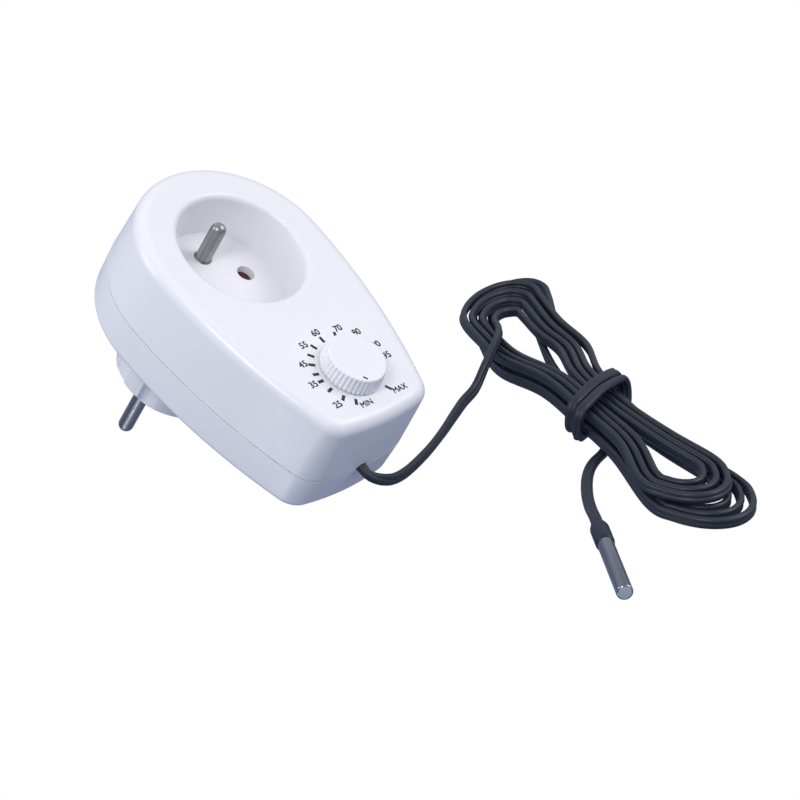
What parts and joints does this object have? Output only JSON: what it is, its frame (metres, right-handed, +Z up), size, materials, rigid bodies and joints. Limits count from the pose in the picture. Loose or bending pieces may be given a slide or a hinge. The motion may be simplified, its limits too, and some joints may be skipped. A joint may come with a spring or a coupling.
{
  "type": "plug-in pump thermostat",
  "caption": "Plug-in thermostat with a through socket, ribbed temperature knob and printed dial, rear plug, and a metal probe on a long flat cord tied in a hank.",
  "frame": {"origin": "centre of the case's footprint on the surface it lies on, without the cord", "axes": "+Z up, -Y towards the lower end of the case where the cord leaves, +X to the right as seen from the front; the case lies tilted on its two plug pins and the lower edge of its back"},
  "size_m": [0.2032, 0.1923, 0.084],
  "materials": {
    "case_white": "smooth moulded plastic with a soft sheen",
    "knob_white": "smooth moulded plastic",
    "shutter_red": "moulded plastic",
    "carrier_ivory": "moulded plastic",
    "nickel": "nickel-plated brass, polished",
    "brass": "bright",
    "tinned_steel": "tinned sheet",
    "screw_steel": "zinc-plated",
    "board_green": "lacquered laminate",
    "relay_blue": "moulded plastic",
    "film_yellow": "moulded plastic",
    "can_dark": "sleeved can",
    "black_epoxy": "moulded epoxy",
    "resistor_tan": "lacquered",
    "shaft_steel": "turned",
    "wire_brown": "insulation",
    "wire_blue": "insulation",
    "cord_navy": "smooth flexible insulation, near black with a blue cast",
    "clamp_grey": "moulded plastic",
    "sleeve_black": "shrunk tubing",
    "probe_steel": "drawn stainless tube"
  },
  "bodies": {
    "case": {"front_cover": "case_white", "rear_cover": "case_white", "socket_insert": "case_white", "socket_earth_pin": "nickel", "shutter_screw": "screw_steel", "live_contact": "brass", "neutral_contact": "brass", "live_pin": "nickel", "neutral_pin": "nickel", "contact_carrier": "carrier_ivory", "rear_earth_contact": "brass", "earth_strap": "tinned_steel", "earth_clips": "tinned_steel", "case_screws": "screw_steel", "circuit_board": "board_green", "board_screws": "screw_steel", "relay": "relay_blue", "film_capacitor": "film_yellow", "filter_capacitor": "can_dark", "control_chip": "black_epoxy", "resistors": "resistor_tan", "diodes": "black_epoxy", "varistor": "relay_blue", "probe_terminal": "carrier_ivory", "pot_body": "tinned_steel", "live_wires": "wire_brown", "neutral_wires": "wire_blue", "probe_leads": "cord_navy", "cord_clamp": "clamp_grey", "clamp_screws": "screw_steel", "lead_cord": "cord_navy", "cord_hank": "cord_navy", "cord_tie": "cord_navy", "tail_cord": "cord_navy", "probe_sleeve": "sleeve_black", "probe_tube": "probe_steel", "thermistor": "black_epoxy"},
    "knob": {"knob": "knob_white", "pot_shaft": "shaft_steel"},
    "shutter": {"shutter": "shutter_red", "shutter_spring": "screw_steel"}
  },
  "joints": [
    {"name": "knob_turn", "type": "hinge", "parent": "case", "child": "knob", "pos_m": [0, -0.03731, 0.0393], "axis": [0, 0.5581, -0.8298], "range_deg": [0, 290]},
    {"name": "shutter_turn", "type": "hinge", "parent": "case", "child": "shutter", "pos_m": [0, 0.01467, 0.0516], "axis": [0, -0.5581, 0.8298], "range_deg": [0, 40], "stiffness_Nm_per_rad": 0.002, "springref_deg": -20.05}
  ]
}
